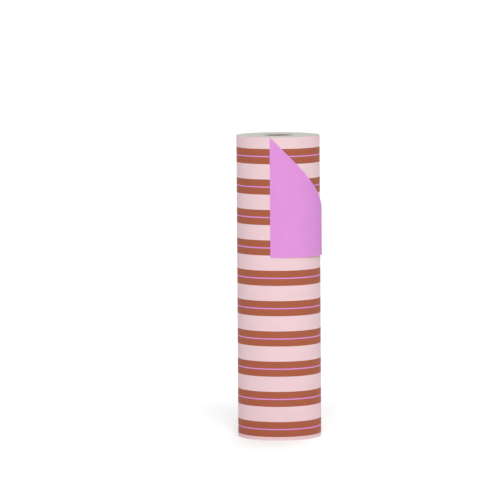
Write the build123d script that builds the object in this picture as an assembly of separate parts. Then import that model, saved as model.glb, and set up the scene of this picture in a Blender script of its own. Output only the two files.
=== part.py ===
from build123d import *
from math import cos, degrees, radians, sin
import os

# A roll of striped wrapping paper, standing on one end, with one corner of its free end folded over.
# Millimetres. The origin is on the core's axis at the bottom face, and +Z points up along the axis.
# Angles are measured about +Z from the front (-Y), counter-clockwise seen from above, so 90 is +X.

# Driving dimensions
roll_width = 500.0  # width of the paper, which is the height of the standing roll
roll_radius = 69.0  # outside of the outermost turn
bore_radius = 25.0  # inside of the core
ply_names = ["core_inner_ply", "core_middle_ply", "core_outer_ply"]
ply_thickness = 1.0  # each spiral-wound ply of the core
tape_width = 20.0  # double-sided tape that holds the start of the paper to the core
tape_thickness = 0.15
tape_end_margin = 15.0  # from each end of the core to the tape
tape_angle = 40.0  # where the tape lies round the core
tape_clearance = 0.05  # all round the tape in the paper over it
sheet_thickness = 0.3  # of the plates that stand for the free end of the paper
sheet_gap = 0.3  # air between the free end and the turn under it
corner_leg = 198.0  # length of each edge of the folded corner
corner_start_angle = -11.5  # where the fold meets the top edge
corner_plates = 11  # plates along the folded corner
plate_slit = 0.25  # between neighbouring plates
corner_tip = 1.0  # left off the sharp end of the last corner strip

# Worked out from them
core_radius = bore_radius + ply_thickness * len(ply_names)
wound_radius = roll_radius - sheet_thickness - sheet_gap
plate_angle = degrees(corner_leg / roll_radius) / corner_plates
free_start_angle = corner_start_angle - plate_angle
free_edge_angle = corner_start_angle + plate_angle * corner_plates
free_plates = corner_plates + 1
corner_bottom = roll_width - corner_leg
slit_angle = degrees(plate_slit / roll_radius)


def polar(radius, angle, height=0.0):
    """The point at a radius, an angle from the front and a height."""
    return Vector(radius * sin(radians(angle)), -radius * cos(radians(angle)), height)


def arc(radius_start, radius_end, start, end):
    """A round edge between two angles, whose radius may grow slightly on the way."""
    middle = polar((radius_start + radius_end) / 2, (start + end) / 2)
    return ThreePointArc(polar(radius_start, start), middle, polar(radius_end, end))


def curved_plate(inner, outer, start, end, bottom, top):
    """A plate that is part of a tube: between two radii, two angles and two heights."""
    outline = [
        arc(outer, outer, start, end),
        Line(polar(outer, end), polar(inner, end)),
        arc(inner, inner, end, start),
        Line(polar(inner, start), polar(outer, start)),
    ]
    return extrude(Pos(0, 0, bottom) * make_face(outline), top - bottom)


def ring(inner, outer, bottom, top):
    """A plain tube."""
    return extrude(Pos(0, 0, bottom) * (Circle(outer) - Circle(inner)), top - bottom)


def crease_height(angle):
    """Height of the fold at an angle: it runs down at 45 degrees over the unrolled paper."""
    return roll_width - roll_radius * radians(angle - corner_start_angle)


def below_crease(plate, start, end):
    """Cuts a plate along the fold, which is straight enough over one plate to be a plane."""
    middle = (start + end) / 2
    rise = crease_height(end) - crease_height(start)
    along = polar(roll_radius, end) - polar(roll_radius, start) + Vector(0, 0, rise)
    upward = polar(1, middle).cross(along)
    cut = Plane(polar(roll_radius, middle, crease_height(middle)), x_dir=along, z_dir=upward)
    return split(plate, bisect_by=cut, keep=Keep.BOTTOM)


def make_core():
    """The paperboard core, as its separate plies, from the inside out."""
    plies = {}
    for number, name in enumerate(ply_names):
        inner = bore_radius + number * ply_thickness
        plies[name] = ring(inner, inner + ply_thickness, 0, roll_width)
    return plies


def tape_block(clearance):
    """The tape on the core, or with a clearance the room that the paper leaves for it."""
    half = degrees((tape_width / 2 + clearance) / core_radius)
    outer = core_radius + tape_thickness + clearance
    bottom = tape_end_margin - clearance
    top = roll_width - tape_end_margin + clearance
    return curved_plate(core_radius, outer, tape_angle - half, tape_angle + half, bottom, top)


def make_wound_paper():
    """All the turns that stay wound, as one body. Its outside steps down where the free end leaves it
    and comes back up to that step round the other side, as the outermost turn lies on its own start."""
    last_turn_angle = free_start_angle + 360
    outline = [
        arc(wound_radius, wound_radius, free_start_angle, free_edge_angle),
        arc(wound_radius, roll_radius, free_edge_angle, last_turn_angle),
        Line(polar(roll_radius, last_turn_angle), polar(wound_radius, free_start_angle)),
    ]
    paper = extrude(make_face(outline) - Circle(core_radius), roll_width)
    return paper - tape_block(tape_clearance)


def make_free_end():
    """The free end of the paper as hinged plates, and its folded corner as strips that lie on them."""
    parts = {}
    for number in range(free_plates):
        start = free_start_angle + number * plate_angle
        end = start + plate_angle
        is_last = number == free_plates - 1
        low = start + slit_angle / 2
        high = end if is_last else end - slit_angle / 2
        inner = roll_radius - sheet_thickness
        plate = curved_plate(inner, roll_radius, low, high, 0, roll_width)
        if number > 0:
            plate = below_crease(plate, start, end)
            outer = roll_radius + sheet_thickness
            high = end - degrees(corner_tip / roll_radius) if is_last else high
            strip = curved_plate(roll_radius, outer, low, high, corner_bottom, roll_width)
            parts[f"corner_strip_{number:02d}"] = below_crease(strip, start, end)
        parts[f"sheet_plate_{number + 1:02d}"] = plate
    return parts


parts = make_core()
parts["start_tape"] = tape_block(0.0)
parts["wound_paper"] = make_wound_paper()
parts.update(make_free_end())

os.makedirs("parts", exist_ok=True)
for name, shape in parts.items():
    export_step(shape, f"parts/{name}.step")
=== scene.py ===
from math import atan2, ceil, cos, degrees, inf, pi, radians, sin

import bmesh
import bpy
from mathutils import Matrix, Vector, noise


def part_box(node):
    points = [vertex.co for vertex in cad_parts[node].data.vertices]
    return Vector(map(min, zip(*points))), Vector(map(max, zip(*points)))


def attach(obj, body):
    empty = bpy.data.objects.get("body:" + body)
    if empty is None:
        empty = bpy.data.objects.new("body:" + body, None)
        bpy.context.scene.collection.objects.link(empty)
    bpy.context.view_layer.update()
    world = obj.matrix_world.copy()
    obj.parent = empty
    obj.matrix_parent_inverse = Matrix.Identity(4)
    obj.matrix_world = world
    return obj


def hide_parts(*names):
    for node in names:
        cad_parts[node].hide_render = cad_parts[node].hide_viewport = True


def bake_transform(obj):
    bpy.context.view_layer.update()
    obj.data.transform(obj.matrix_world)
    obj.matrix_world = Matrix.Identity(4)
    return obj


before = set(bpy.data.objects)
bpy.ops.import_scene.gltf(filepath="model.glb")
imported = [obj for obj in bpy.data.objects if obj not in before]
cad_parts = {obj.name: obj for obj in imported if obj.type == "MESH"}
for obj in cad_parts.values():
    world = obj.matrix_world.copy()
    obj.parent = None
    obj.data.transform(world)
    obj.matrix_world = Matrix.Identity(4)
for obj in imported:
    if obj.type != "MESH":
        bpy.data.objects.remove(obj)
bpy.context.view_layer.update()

# A roll of striped wrapping paper, standing on one end, one corner of its free end folded over.
# Metres, and degrees measured about +Z from the front (-Y), so 90 is +X.

# Sizes of the part, from its CAD nodes where a box can say them
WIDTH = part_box("wound_paper")[1][2]  # of the paper, so the height of the standing roll
BORE_RADIUS = 0.025
PLY = 0.001  # thickness of each ply of the core
CORE_RADIUS = BORE_RADIUS + 3 * PLY
ROLL_RADIUS = 0.069  # outside of the outermost turn
CORNER_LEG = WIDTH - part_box("corner_strip_01")[0][2]  # each edge of the folded corner
CORNER_START = -11.5  # angle where the fold meets the top edge
PLATES = 11  # hinged plates along the folded corner
STEP = degrees(CORNER_LEG / ROLL_RADIUS) / PLATES  # angle that one plate covers
SHEET_START = CORNER_START - STEP  # where the free end leaves the roll
FREE_EDGE = CORNER_START + STEP * PLATES
CORNER_BOTTOM = WIDTH - CORNER_LEG

# The paper as it is drawn
PAPER = 0.0002  # thickness of the free end
UNDER_GAP = 0.0001  # air under the free end
TAPE_ROOM = 0.0002  # between the core and the wound turns, where the start tape is

# The free end
PRINTED, REVERSE, CUT = 0, 1, 2  # material slots of a strip of it
SHEET_ROWS, BEND_ROWS, CORNER_ROWS = 22, 7, 16  # points up the sheet, over the crease, down the corner
COLUMN_ANGLE = 0.9  # about how far apart a strip's columns are
SIDE_ANGLE = 0.06  # width of the narrow column at each side of a strip
CURL_START = FREE_EDGE - 13  # from here the outermost turn curls off the roll
EDGE_CURL = 0.0006  # how far it does at the free edge
SPRING_START, SPRING_FULL, SPRING_EASES = 10, 78, 118  # where the folded corner stands off
SPRING, SPRING_WAVE = 0.0021, 0.0002  # how far it stands off, and how unevenly
CORNER_AIR = 0.0001  # under the folded corner where it lies close
LIP, LIP_HEIGHT = 0.0004, 0.016  # the curl along the folded corner's bottom edge
LEAST_CORNER = 0.0004  # that the corner reaches down from its bend, at its sharp end
QUARTER_TURN = 0.3264  # how far along a blend a quarter of its turn is done

# The wound turns
END_RINGS, END_COLUMNS = 92, 240
TURN_PITCH = 0.0016  # of the coarse turns that show as relief in the end faces
TURN_GROOVE = 0.00007
END_SETBACK = 0.00022  # from the cut ends of the roll to most turns' edges
FINE_PITCH = 0.00042  # of the fine spiral that is drawn on the end faces

# The core
CORE_COLUMNS = 120
CHAMFER = 0.0002
MOUTH_WIDTH, MOUTH_DEPTH = 0.00092, 0.0014  # of the bevel where the ends of the bore are reamed
LEAD = 0.092  # the plies' strips are wound round the core at this pitch
SEAM_HALF, SEAM_DEPTH = 0.0006, 0.00035
SEAM_DROP = 0.02  # where the first seam crosses a ply's first column
SEAM_TURN, SEAM_TURN_STEP = 40, 130  # where the first ply's first column is, and how far on the next's
SAME_ANGLE, SAME_PLACE = 1e-3, 1e-6

# The printed stripes, down from the top edge
STRIPE_TOP = 0.0191
STRIPE_PERIOD = 0.050
BAND_SHARE = 0.5  # of the period that a rust band takes
LINE_WIDTH = 0.0019
PRINT_SOFT = 0.002  # of the period that an edge of the print takes
PRINT_RAGGED = 0.00012  # how far the edges of the print wander
WEAR_REACH, WEAR_MOST = 0.0011, 0.6  # the wear along the crease

# Colours. A pair is what a material's mottling runs between.
PINK = (0.80, 0.593, 0.625, 1)
RUST = (0.392, 0.111, 0.057, 1)
ORCHID = (0.70, 0.285, 0.67, 1)
BARE_PAPER = (0.80, 0.70, 0.74, 1)
ORCHID_REVERSE = (0.65, 0.25, 0.625, 1), (0.755, 0.325, 0.725, 1)
CUT_PAPER = (0.62, 0.55, 0.56, 1), (0.78, 0.72, 0.72, 1)
TURN_ENDS = (0.265, 0.275, 0.25, 1), (0.645, 0.65, 0.615, 1)
KRAFT_BOARD = (0.21, 0.14, 0.085, 1), (0.37, 0.27, 0.18, 1)
GREY_BOARD = (0.45, 0.445, 0.41, 1), (0.655, 0.65, 0.61, 1)
BOARD_FLECK = (0.20, 0.14, 0.085, 1)
TAPE_FILM = (0.70, 0.67, 0.56, 1), (0.80, 0.78, 0.70, 1)
FLOOR_PAINT = (0.945, 0.945, 0.945, 1), (0.955, 0.955, 0.955, 1)
DIFFUSE_ROUGHNESS = 0.2

# The stage
FLOOR_RADIUS = 90.0
FOCAL_LENGTH = 289.7  # millimetres
CAMERA_PLACE = (0, -6.367, 0.918)
CAMERA_TURN = (pi / 2 - 0.09277, 0.0065, 0.00944)
WORLD_LIGHT = 0.13
SUNS = (  # name, azimuth, elevation, strength, apparent size
    ("front_key", 3, 42, 2.05, 42),
    ("top_light", 60, 82, 0.9, 70),
    ("back_light", 172, 62, 1.15, 40),
)


# ---------------------------------------------------------------- small helpers
def polar(radius, angle, height=0.0):
    """The point at a radius, an angle from the front and a height."""
    return Vector((radius * sin(radians(angle)), -radius * cos(radians(angle)), height))


def smooth(value, start, end):
    """0 before start, 1 after end, and smooth between them."""
    t = min(max((value - start) / (end - start), 0.0), 1.0)
    return t * t * (3 - 2 * t)


def wave(x, y=0.0, z=0.0):
    """Smooth noise between about -1 and 1."""
    return noise.noise(Vector((x, y, z)))


def crease_height(angle):
    """Height of the fold: it runs down at 45 degrees over the unrolled paper."""
    return WIDTH - ROLL_RADIUS * radians(angle - CORNER_START)


def finish_mesh(bm, name, materials, sharp=50):
    """Turns a bmesh into an object with outward normals and edges that are sharp where it turns."""
    bmesh.ops.recalc_face_normals(bm, faces=bm.faces)
    for face in bm.faces:
        face.smooth = True
    for edge in bm.edges:
        if len(edge.link_faces) == 2:
            edge.smooth = edge.calc_face_angle() < radians(sharp)
    mesh = bpy.data.meshes.new(name)
    bm.to_mesh(mesh)
    bm.free()
    for material in materials:
        mesh.materials.append(material)
    obj = bpy.data.objects.new(name, mesh)
    bpy.context.scene.collection.objects.link(obj)
    return obj


# ---------------------------------------------------------------- materials
class Nodes:
    """Makes the nodes of one material with less typing."""

    def __init__(self, name):
        self.material = bpy.data.materials.new(name)
        self.material.use_nodes = True
        self.tree = self.material.node_tree
        self.shader = self.tree.nodes["Principled BSDF"]

    def add(self, kind, **settings):
        node = self.tree.nodes.new("ShaderNode" + kind)
        for key, value in settings.items():
            setattr(node, key, value)
        return node

    def join(self, value, socket):
        if hasattr(value, "is_output"):
            self.tree.links.new(value, socket)
        else:
            socket.default_value = value

    def math(self, operation, *values, clamp=False):
        node = self.add("Math", operation=operation, use_clamp=clamp)
        for value, socket in zip(values, node.inputs):
            self.join(value, socket)
        return node.outputs[0]

    def mix(self, factor, first, second, blend="MIX"):
        node = self.add("Mix", data_type="RGBA", blend_type=blend)
        self.join(factor, node.inputs["Factor"])
        self.join(first, node.inputs[6])
        self.join(second, node.inputs[7])
        return node.outputs[2]

    def spread(self, value, low, high):
        node = self.add("MapRange")
        self.join(value, node.inputs["Value"])
        self.join(low, node.inputs["To Min"])
        self.join(high, node.inputs["To Max"])
        return node.outputs["Result"]

    def noise(self, vector, scale, detail=2.0, stretch=(1, 1, 1)):
        mapping = self.add("Mapping")
        self.join(vector, mapping.inputs["Vector"])
        mapping.inputs["Scale"].default_value = stretch
        node = self.add("TexNoise")
        self.join(mapping.outputs[0], node.inputs["Vector"])
        node.inputs["Scale"].default_value = scale
        node.inputs["Detail"].default_value = detail
        return node.outputs["Fac"]

    def bump(self, height, strength, distance, under=None):
        node = self.add("Bump")
        node.inputs["Strength"].default_value = strength
        node.inputs["Distance"].default_value = distance
        self.join(height, node.inputs["Height"])
        if under is not None:
            self.join(under, node.inputs["Normal"])
        return node.outputs["Normal"]

    def finish(self, colour, roughness, normal, specular=0.3):
        self.join(colour, self.shader.inputs["Base Color"])
        self.join(roughness, self.shader.inputs["Roughness"])
        self.join(normal, self.shader.inputs["Normal"])
        self.shader.inputs["Specular IOR Level"].default_value = specular
        self.shader.inputs["Diffuse Roughness"].default_value = DIFFUSE_ROUGHNESS
        return self.material


def flat_sheet(n):
    """The place on the flat sheet, in metres: round the roll and up it."""
    return n.add("UVMap", uv_map="paper").outputs["UV"]


def paper_relief(n, flat):
    """The normal of paper: short fibres over a slow unevenness of the sheet."""
    slow = n.bump(n.noise(flat, scale=22, detail=1), strength=0.25, distance=0.0004)
    fibres = n.noise(flat, scale=1, detail=3, stretch=(900, 2600, 1))
    crossing = n.noise(flat, scale=1, detail=3, stretch=(2600, 900, 1))
    both = n.math("ADD", fibres, crossing)
    return n.bump(both, strength=0.2, distance=0.00008, under=slow)


def fold_wear(n, flat):
    """How far the ink is worn off along the crease of the folded corner, in broken flecks."""
    split = n.add("SeparateXYZ")
    n.join(flat, split.inputs[0])
    beyond = n.math("ADD", split.outputs[0], split.outputs[1])
    crease = WIDTH + ROLL_RADIUS * radians(CORNER_START)
    off = n.math("ABSOLUTE", n.math("SUBTRACT", beyond, crease))
    near = n.math("SUBTRACT", 1.0, n.math("DIVIDE", off, WEAR_REACH), clamp=True)
    flecks = n.spread(n.noise(flat, scale=330, detail=5), low=-1.5, high=2.0)
    worn = n.math("MULTIPLY", near, flecks, clamp=True)
    return n.math("MULTIPLY", worn, WEAR_MOST)


def make_printed():
    """The printed side: pink paper with rust bands and a thin orchid line in each band."""
    n = Nodes("printed_side")
    flat = flat_sheet(n)
    split = n.add("SeparateXYZ")
    n.join(flat, split.inputs[0])
    wander = n.math("SUBTRACT", n.noise(flat, scale=700, detail=2), 0.5)
    height = n.math("MULTIPLY_ADD", wander, PRINT_RAGGED, split.outputs[1])
    down = n.math("SUBTRACT", WIDTH - STRIPE_TOP, height)
    place = n.math("FRACT", n.math("DIVIDE", down, STRIPE_PERIOD))
    from_middle = n.math("ABSOLUTE", n.math("SUBTRACT", place, BAND_SHARE / 2))

    def inside(share):
        """1 within a share of the period about the middle of the band."""
        slope = n.math("DIVIDE", n.math("SUBTRACT", share / 2, from_middle), PRINT_SOFT)
        return n.math("ADD", slope, 0.5, clamp=True)

    ink = n.mix(inside(BAND_SHARE), PINK, RUST)
    ink = n.mix(inside(LINE_WIDTH / STRIPE_PERIOD), ink, ORCHID)
    mottle = n.spread(n.noise(flat, scale=1400, detail=3), low=0.92, high=1.08)
    cloud = n.spread(n.noise(flat, scale=45, detail=2), low=0.97, high=1.03)
    uneven = n.math("MULTIPLY", mottle, cloud)
    shade = n.add("CombineColor")
    for socket in shade.inputs[:3]:
        n.join(uneven, socket)
    colour = n.mix(1.0, ink, shade.outputs[0], "MULTIPLY")
    colour = n.mix(fold_wear(n, flat), colour, BARE_PAPER)
    roughness = n.spread(n.noise(flat, scale=500, detail=2), low=0.48, high=0.62)
    return n.finish(colour, roughness, paper_relief(n, flat), specular=0.1)


def make_reverse():
    """The plain orchid side, which is duller than the print."""
    n = Nodes("orchid_side")
    flat = flat_sheet(n)
    cloud = n.spread(n.noise(flat, scale=40, detail=2), low=-0.175, high=0.175)
    mottle = n.math("ADD", n.noise(flat, scale=1100, detail=4), cloud, clamp=True)
    colour = n.mix(mottle, *ORCHID_REVERSE)
    colour = n.mix(fold_wear(n, flat), colour, BARE_PAPER)
    roughness = n.spread(n.noise(flat, scale=400, detail=2), low=0.58, high=0.72)
    return n.finish(colour, roughness, paper_relief(n, flat), specular=0.08)


def make_cut_edge():
    """The pale edge of one thickness of paper."""
    n = Nodes("paper_edge")
    place = n.add("TexCoord").outputs["Object"]
    fleck = n.noise(place, scale=4000, detail=2)
    colour = n.mix(fleck, *CUT_PAPER)
    roughness = n.spread(fleck, low=0.75, high=0.9)
    normal = n.bump(fleck, strength=0.3, distance=0.00003)
    return n.finish(colour, roughness, normal, specular=0.2)


def make_turn_ends():
    """The end face: the cut edges of all the turns, a fine spiral that reads as grey-green paper."""
    n = Nodes("turn_ends")
    place = n.add("TexCoord").outputs["Object"]
    split = n.add("SeparateXYZ")
    n.join(place, split.inputs[0])
    x, y = split.outputs[0], split.outputs[1]
    square = n.math("ADD", n.math("MULTIPLY", x, x), n.math("MULTIPLY", y, y))
    radius = n.math("SQRT", square)
    turn = n.math("DIVIDE", n.math("ARCTAN2", x, y), 2 * pi)
    spiral = n.math("SUBTRACT", n.math("DIVIDE", radius, FINE_PITCH), turn)
    saw = n.math("PINGPONG", spiral, 0.5)
    outward = n.add("CombineXYZ")
    n.join(radius, outward.inputs[0])
    rings = n.noise(outward.outputs[0], scale=900, detail=3)
    slow_rings = n.noise(outward.outputs[0], scale=140, detail=2)
    dust = n.noise(place, scale=900, detail=3)
    tone = 0.0
    for part, weight in ((rings, 0.55), (slow_rings, 0.30), (saw, 0.25), (dust, 0.15)):
        tone = n.math("MULTIPLY_ADD", part, weight, tone)
    colour = n.mix(tone, *TURN_ENDS)
    roughness = n.spread(dust, low=0.72, high=0.88)
    lines = n.bump(n.math("ADD", saw, rings), strength=0.35, distance=0.00012)
    normal = n.bump(dust, strength=0.15, distance=0.0001, under=lines)
    return n.finish(colour, roughness, normal, specular=0.2)


def make_board(name, colours):
    """Paperboard of the core, with short darker and paler fibres."""
    n = Nodes(name)
    place = n.add("TexCoord").outputs["Object"]
    fibres = n.noise(place, scale=1, detail=4, stretch=(700, 700, 260))
    flecks = n.noise(place, scale=1, detail=2, stretch=(1800, 1800, 500))
    spots = n.math("GREATER_THAN", flecks, 0.66)
    faint = n.math("MULTIPLY", spots, 0.5)
    colour = n.mix(faint, n.mix(fibres, *colours), BOARD_FLECK)
    roughness = n.spread(flecks, low=0.72, high=0.9)
    normal = n.bump(fibres, strength=0.25, distance=0.00015)
    return n.finish(colour, roughness, normal, specular=0.2)


def make_tape():
    """The double-sided tape under the first turn: clear film, slightly yellow with its glue."""
    n = Nodes("start_tape_film")
    place = n.add("TexCoord").outputs["Object"]
    bubbles = n.noise(place, scale=260, detail=3)
    colour = n.mix(bubbles, *TAPE_FILM)
    roughness = n.spread(bubbles, low=0.12, high=0.3)
    normal = n.bump(bubbles, strength=0.2, distance=0.00008)
    return n.finish(colour, roughness, normal, specular=0.5)


def make_floor_paint():
    """Matt near-white paint."""
    n = Nodes("floor_paint")
    place = n.add("TexCoord").outputs["Object"]
    grain = n.noise(place, scale=30, detail=3)
    normal = n.bump(grain, strength=0.02, distance=0.0005)
    return n.finish(n.mix(grain, *FLOOR_PAINT), 0.9, normal, specular=0.0)


printed = make_printed()
reverse = make_reverse()
cut_edge = make_cut_edge()
turn_ends = make_turn_ends()
kraft_board = make_board("kraft_board", KRAFT_BOARD)
grey_board = make_board("grey_board", GREY_BOARD)


# ---------------------------------------------------------------- the free end of the paper
def sheet_lift(angle, height):
    """How far the outermost turn stands off the roll: it curls a little at its free edge."""
    curl = smooth(angle, CURL_START, FREE_EDGE)
    return curl * curl * EDGE_CURL * (0.8 + 0.35 * wave(height * 7, 3.1))


def corner_gap(angle, height):
    """Air between the folded corner and the paper that it lies on. It is tight at its left edge and
    springs off round the right-hand side, where the fold resists being bent round the roll."""
    eases = 1 - smooth(angle, SPRING_EASES, FREE_EDGE)
    out = smooth(angle, SPRING_START, SPRING_FULL) * eases
    spring = out * (SPRING + SPRING_WAVE * wave(height * 9, angle / 25))
    near_bottom = 1 - smooth(height, CORNER_BOTTOM, CORNER_BOTTOM + LIP_HEIGHT)
    inside = smooth(angle, CORNER_START, CORNER_START + 19.5) * eases
    return CORNER_AIR + spring + inside * near_bottom * near_bottom * LIP


def plain_section(angle):
    """Printed side, reverse side and place on the flat sheet of each point up a plain strip."""
    rows = []
    for row in range(SHEET_ROWS):
        height = WIDTH * row / (SHEET_ROWS - 1)
        outer = ROLL_RADIUS + sheet_lift(angle, height)
        flat = (ROLL_RADIUS * radians(angle), height)
        rows.append(((outer, height), (outer - PAPER, height), flat))
    return rows


def folded_section(angle):
    """The same for a strip with the fold: up the sheet, over the crease and down the corner."""
    crease = crease_height(angle)
    around = ROLL_RADIUS * radians(angle)
    bend = (PAPER + corner_gap(angle, crease)) / 2
    centre = crease - PAPER / 2 - bend
    rows = []
    for row in range(SHEET_ROWS):
        height = centre * row / (SHEET_ROWS - 1)
        outer = ROLL_RADIUS + sheet_lift(angle, height)
        rows.append(((outer, height), (outer - PAPER, height), (around, height)))
    middle = outer - PAPER / 2 + bend
    inside, outside = bend - PAPER / 2, bend + PAPER / 2
    for row in range(1, BEND_ROWS):
        turn = pi * (1 - row / BEND_ROWS)
        front = (middle + inside * cos(turn), centre + inside * sin(turn))
        back = (middle + outside * cos(turn), centre + outside * sin(turn))
        rows.append((front, back, (around, crease)))
    bottom = min(CORNER_BOTTOM, centre - LEAST_CORNER)
    for row in range(CORNER_ROWS):
        height = centre + (bottom - centre) * row / (CORNER_ROWS - 1)
        gap = corner_gap(angle, height) if row else 2 * bend - PAPER
        inner = ROLL_RADIUS + sheet_lift(angle, height) + gap
        # the corner is turned over about the crease, so up and round change places on the flat sheet
        flat = (ROLL_RADIUS * radians(CORNER_START) + WIDTH - height, crease)
        rows.append(((inner, height), (inner + PAPER, height), flat))
    return rows


def columns(start, end):
    """Angles of the columns of a strip, with a narrow column at each side so that its shading runs
    on smoothly in the next strip."""
    count = max(4, round((end - start) / COLUMN_ANGLE))
    angles = [start + (end - start) * i / count for i in range(1, count)]
    return [start, start + SIDE_ANGLE, *angles, end - SIDE_ANGLE, end]


def make_strip(name, start, end, section):
    """One upright strip of the free end, closed on all sides."""
    bm = bmesh.new()
    uv = bm.loops.layers.uv.new("paper")
    flat, grid = {}, []
    for angle in columns(start, end):
        column = []
        for front, back, place in section(angle):
            pair = [bm.verts.new(polar(r, angle, z)) for r, z in (front, back)]
            for vert in pair:
                flat[vert] = place
            column.append(pair)
        grid.append(column)

    middles = {}  # on both sides of the strip, the point halfway through the paper
    for front, back in grid[0] + grid[-1]:
        middles[front] = bm.verts.new((front.co + back.co) / 2)
        flat[middles[front]] = flat[front]

    def face(corners, material):
        made = bm.faces.new(corners)
        made.material_index = material
        for loop in made.loops:
            loop[uv].uv = flat[loop.vert]

    for left, right in zip(grid, grid[1:]):
        for low in range(len(left) - 1):
            high = low + 1
            for side, material in ((0, PRINTED), (1, REVERSE)):
                corners = (left[low], right[low], right[high], left[high])
                face([pair[side] for pair in corners], material)
        for row in (0, -1):
            (a, b), (c, d) = left[row], right[row]
            corners = (a, middles.get(a), b, d, middles.get(c), c)
            face([vert for vert in corners if vert is not None], CUT)
    # A side that meets the next strip is inside the paper, so each half of it has the colour of the
    # face beside it. The corner's left side and the far side of the last strip are cut.
    for column in (grid[0], grid[-1]):
        for row, (low, high) in enumerate(zip(column, column[1:])):
            is_corner_side = start == CORNER_START and column is grid[0] and row >= SHEET_ROWS
            is_last_side = end == FREE_EDGE and column is grid[-1]
            is_cut = is_corner_side or is_last_side
            for side, material in ((0, PRINTED), (1, REVERSE)):
                corners = (low[side], middles[low[0]], middles[high[0]], high[side])
                face(corners, CUT if is_cut else material)
    return finish_mesh(bm, name, (printed, reverse, cut_edge))


def add_strip(name, number, start, end, folded):
    """One upright strip of the free end, built where it lies at rest. The CAD plate it stands for is
    hidden, and for a folded strip the CAD corner strip too. Below, the share of a hinge's turn is
    worked out: a quarter at the middle of the plate before it, and three quarters at the middle of the
    next. It is not used, because the strip is not given to any body and does not bend."""
    strip = make_strip(name, start, end, folded_section if folded else plain_section)
    body = min(number, PLATES)
    if number == 0:  # from the roll to the middle of the first plate
        first, last = 0.0, 1.0
    elif number > PLATES:  # from the middle of the last plate to the free edge
        first, last = 1 - 0.5 / QUARTER_TURN, 1.0
    else:  # from the middle of one plate to the middle of the next
        last = 0.5 / (1 - 2 * QUARTER_TURN)
        first = -last
    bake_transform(strip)
    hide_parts(f"sheet_plate_{body + 1:02d}")
    if folded:
        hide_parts(f"corner_strip_{body:02d}")


# ---------------------------------------------------------------- the turns that stay wound
def wound_radius(angle):
    """Outside of the wound turns: a step down where the free end leaves them, and back up to it."""
    low = ROLL_RADIUS - PAPER - UNDER_GAP
    past = (angle - SHEET_START) % 360
    return low + (ROLL_RADIUS - low) * smooth(past, FREE_EDGE - SHEET_START, 360)


def end_relief(radius, angle, side):
    """How far the turns' edges stand back from the cut ends: none is wound quite in line."""
    turn = radius / TURN_PITCH - angle / 360
    groove = 0.5 - 0.5 * cos(2 * pi * turn)
    uneven = wave(radius * 420, side * 5.0) * 0.00015
    slow = wave(radius * 60, side * 9.0 + sin(radians(angle)) * 0.4) * 0.00018
    return END_SETBACK + TURN_GROOVE * groove - uneven - slow


def make_wound_turns():
    """The wound turns. The rings of the end faces are the same at every angle, apart from the last,
    which follows the outside and has both sides of the step on the column where the free end leaves."""
    bm = bmesh.new()
    uv = bm.loops.layers.uv.new("paper")
    inner, outer = CORE_RADIUS + TAPE_ROOM, wound_radius(SHEET_START)
    radii = [inner + (outer - inner) * i / END_RINGS for i in range(END_RINGS)]
    angles = [SHEET_START + 360 * i / END_COLUMNS for i in range(END_COLUMNS)]

    def point(radius, angle, back, side):
        return bm.verts.new(polar(radius, angle, WIDTH - back if side else back))

    ends, rims = [], []
    for side in (0, 1):
        ends.append([[point(r, a, end_relief(r, a, side), side) for a in angles] for r in radii])
        rim = []
        for angle in angles:
            # the outermost turn comes back up to the cut end where it goes on as the free end
            near = smooth(angle, FREE_EDGE, SHEET_START + 360)
            rim.append(point(wound_radius(angle), angle, END_SETBACK * (1 - near), side))
        rim.append(point(ROLL_RADIUS, SHEET_START, 0.0, side))
        rims.append(rim)

    def face(corners, material):
        made = bm.faces.new(corners)
        made.material_index = material
        return made

    outside, cut = 0, 1  # material slots
    last = END_COLUMNS - 1
    for rings, rim in zip(ends, rims):
        for low, high in zip(rings, rings[1:]):
            for i in range(END_COLUMNS):
                j = (i + 1) % END_COLUMNS
                face((low[i], low[j], high[j], high[i]), cut)
        low = rings[-1]
        for i in range(last):
            face((low[i], low[i + 1], rim[i + 1], rim[i]), cut)
        face((low[last], low[0], rim[0], rim[-1], rim[last]), cut)
    for i in range(END_COLUMNS):
        j = (i + 1) % END_COLUMNS
        face((ends[0][0][i], ends[0][0][j], ends[1][0][j], ends[1][0][i]), cut)
        wall = face((rims[0][i], rims[0][i + 1], rims[1][i + 1], rims[1][i]), outside)
        for loop in wall.loops:
            left = loop.vert in (rims[0][i], rims[1][i])
            # less a whole turn, so that the stripes run on into the free end
            angle = SHEET_START + 360 * (i if left else i + 1) / END_COLUMNS - 360
            loop[uv].uv = (ROLL_RADIUS * radians(angle), loop.vert.co.z)
    face((rims[0][0], rims[0][-1], rims[1][-1], rims[1][0]), cut)
    turns = finish_mesh(bm, "wound_turns", (printed, turn_ends), sharp=40)
    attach(turns, "roll")
    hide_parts("wound_paper")


# ---------------------------------------------------------------- the core
def turned_to(vert):
    """Angle of a point from the front, from 0 to 360."""
    angle = degrees(atan2(vert.co.x, -vert.co.y)) % 360
    return 0.0 if angle > 360 - SAME_ANGLE / 10 else angle


def zip_rings(bm, first, second):
    """Faces between two rings of points round the axis, which may differ in number."""
    rings = [sorted(ring, key=turned_to) for ring in (first, second)]
    angles = [[turned_to(v) for v in ring] for ring in rings]
    for ring, turns in zip(rings, angles):
        ring.append(ring[0])
        turns.append(turns[0] + 360)
    i = j = 0
    while i < len(rings[0]) - 1 or j < len(rings[1]) - 1:
        a, b = rings[0][i], rings[1][j]
        next_a = angles[0][i + 1] if i < len(rings[0]) - 1 else inf
        next_b = angles[1][j + 1] if j < len(rings[1]) - 1 else inf
        corners = [a]
        if next_a < next_b + SAME_ANGLE:
            i += 1
            corners.append(rings[0][i])
        if next_b < next_a + SAME_ANGLE:
            j += 1
            corners.append(rings[1][j])
        bm.faces.new((*corners, b))


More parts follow.
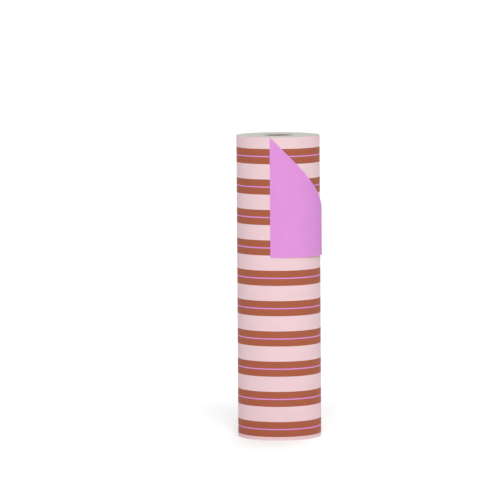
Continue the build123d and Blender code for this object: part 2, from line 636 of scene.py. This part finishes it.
def make_ply(name, node, boards, inner, outer, turned, bevel):
    """One ply: a helical strip whose neighbouring edges leave a narrow groove between them. Its inside
    is of the first board and the rest of the last, which shows where the bevel cuts the ply."""
    bm = bmesh.new()
    # up one lead of the helix: the bottom of the groove, its edge, two points between, its other edge
    steps = (0.0, SEAM_HALF, LEAD * 0.35, LEAD * 0.7, LEAD - SEAM_HALF)
    leads = ceil(WIDTH / LEAD) + 1
    rows = [(lead - 1) * LEAD + step for lead in range(leads) for step in steps]
    radii = [inner + (SEAM_DEPTH if step == 0 else 0) for _ in range(leads) for step in steps]
    grid = []
    for column in range(CORE_COLUMNS):
        angle = 360 * column / CORE_COLUMNS + turned
        rise = LEAD * column / CORE_COLUMNS - SEAM_DROP
        points = [polar(radius, angle, z + rise) for radius, z in zip(radii, rows)]
        grid.append([bm.verts.new(point) for point in points])
    for column in range(CORE_COLUMNS):
        here, there = grid[column], grid[(column + 1) % CORE_COLUMNS]
        if column == CORE_COLUMNS - 1:  # a turn further on, the helix is a lead higher
            there = there[len(steps) :]
        for low, high in zip(zip(here, there), zip(here[1:], there[1:])):
            bm.faces.new((low[0], low[1], high[1], high[0]))
    bevel_width, bevel_depth = bevel
    for height, facing in ((bevel_depth, -1), (WIDTH - bevel_depth, 1)):
        bmesh.ops.bisect_plane(
            bm,
            geom=bm.verts[:] + bm.edges[:] + bm.faces[:],
            plane_co=(0, 0, height),
            plane_no=(0, 0, facing),
            clear_outer=True,
        )
    bmesh.ops.remove_doubles(bm, verts=bm.verts, dist=SAME_PLACE)
    inside = set(bm.faces)
    rims = []
    for end, up in ((0.0, 1), (WIDTH, -1)):
        height = end + up * bevel_depth
        open_verts = {vert for edge in bm.edges if edge.is_boundary for vert in edge.verts}
        rim = [vert for vert in open_verts if abs(vert.co.z - height) < SAME_PLACE]
        corners = ((inner + bevel_width, end), (outer - CHAMFER, end), (outer, end + up * CHAMFER))
        for radius, level in corners:
            angles = [360 * i / CORE_COLUMNS for i in range(CORE_COLUMNS)]
            ring = [bm.verts.new(polar(radius, angle, level)) for angle in angles]
            zip_rings(bm, rim, ring)
            rim = ring
        rims.append(rim)
    zip_rings(bm, *rims)
    for face in bm.faces:
        face.material_index = 0 if face in inside else len(boards) - 1
    ply = finish_mesh(bm, name, boards, sharp=20)
    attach(ply, "roll")
    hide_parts(node)


# ---------------------------------------------------------------- stage, light and camera
def make_floor():
    """A wide floor, which the camera sees to its far edge."""
    bm = bmesh.new()
    bmesh.ops.create_circle(bm, cap_ends=True, segments=96, radius=FLOOR_RADIUS)
    floor = finish_mesh(bm, "floor", (make_floor_paint(),))


def add_sun(name, azimuth, elevation, strength, spread):
    """A soft light from far off. Azimuth is measured from the front, towards +X."""
    lamp = bpy.data.lights.new(name, "SUN")
    lamp.energy = strength
    lamp.angle = radians(spread)
    obj = bpy.data.objects.new(name, lamp)
    towards = polar(cos(radians(elevation)), azimuth, sin(radians(elevation)))
    obj.rotation_mode = "QUATERNION"
    obj.rotation_quaternion = towards.to_track_quat("Z", "Y")
    obj.location = towards * 3
    bpy.context.scene.collection.objects.link(obj)


def make_world(strength):
    """A plain white surround. The camera sees it as white as the floor."""
    world = bpy.data.worlds.new("studio")
    world.use_nodes = True
    tree = world.node_tree
    ground = tree.nodes["Background"]
    ground.inputs["Color"].default_value = (1, 1, 1, 1)
    path = tree.nodes.new("ShaderNodeLightPath")
    level = tree.nodes.new("ShaderNodeMapRange")
    level.inputs["To Min"].default_value = strength
    level.inputs["To Max"].default_value = 1.0
    tree.links.new(path.outputs["Is Camera Ray"], level.inputs["Value"])
    tree.links.new(level.outputs["Result"], ground.inputs["Strength"])
    bpy.context.scene.world = world


def make_camera():
    """A long lens some way off, a little above the roll and turned slightly off level."""
    camera = bpy.data.cameras.new("camera")
    camera.sensor_width = 36
    camera.lens = FOCAL_LENGTH
    camera.clip_start, camera.clip_end = 0.1, 400
    obj = bpy.data.objects.new("camera", camera)
    obj.location = CAMERA_PLACE
    obj.rotation_euler = CAMERA_TURN
    bpy.context.scene.collection.objects.link(obj)
    bpy.context.scene.camera = obj


# ---------------------------------------------------------------- build
make_camera()
make_world(WORLD_LIGHT)
for sun in SUNS:
    add_sun(*sun)
make_floor()
bpy.context.scene.view_settings.view_transform = "Standard"

make_wound_turns()
for number, layer in enumerate(("inner", "middle", "outer")):
    radius = BORE_RADIUS + number * PLY
    innermost = layer == "inner"
    make_ply(
        f"core_{layer}_board",
        f"core_{layer}_ply",
        (kraft_board, grey_board) if innermost else (grey_board,),
        radius,
        radius + PLY,
        SEAM_TURN + SEAM_TURN_STEP * number,
        (MOUTH_WIDTH, MOUTH_DEPTH) if innermost else (CHAMFER, CHAMFER),
    )

half = STEP / 2
add_strip("free_end_00", 0, SHEET_START, SHEET_START + half, False)
add_strip("free_end_01", 1, SHEET_START + half, CORNER_START, False)
add_strip("corner_01", 1, CORNER_START, CORNER_START + half, True)
for number in range(2, PLATES + 1):
    middle = SHEET_START + number * STEP
    add_strip(f"corner_{number:02d}", number, middle - half, middle + half, True)
add_strip("corner_12", PLATES + 1, FREE_EDGE - half, FREE_EDGE, True)

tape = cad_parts["start_tape"]
tape.data.materials.clear()
tape.data.materials.append(make_tape())
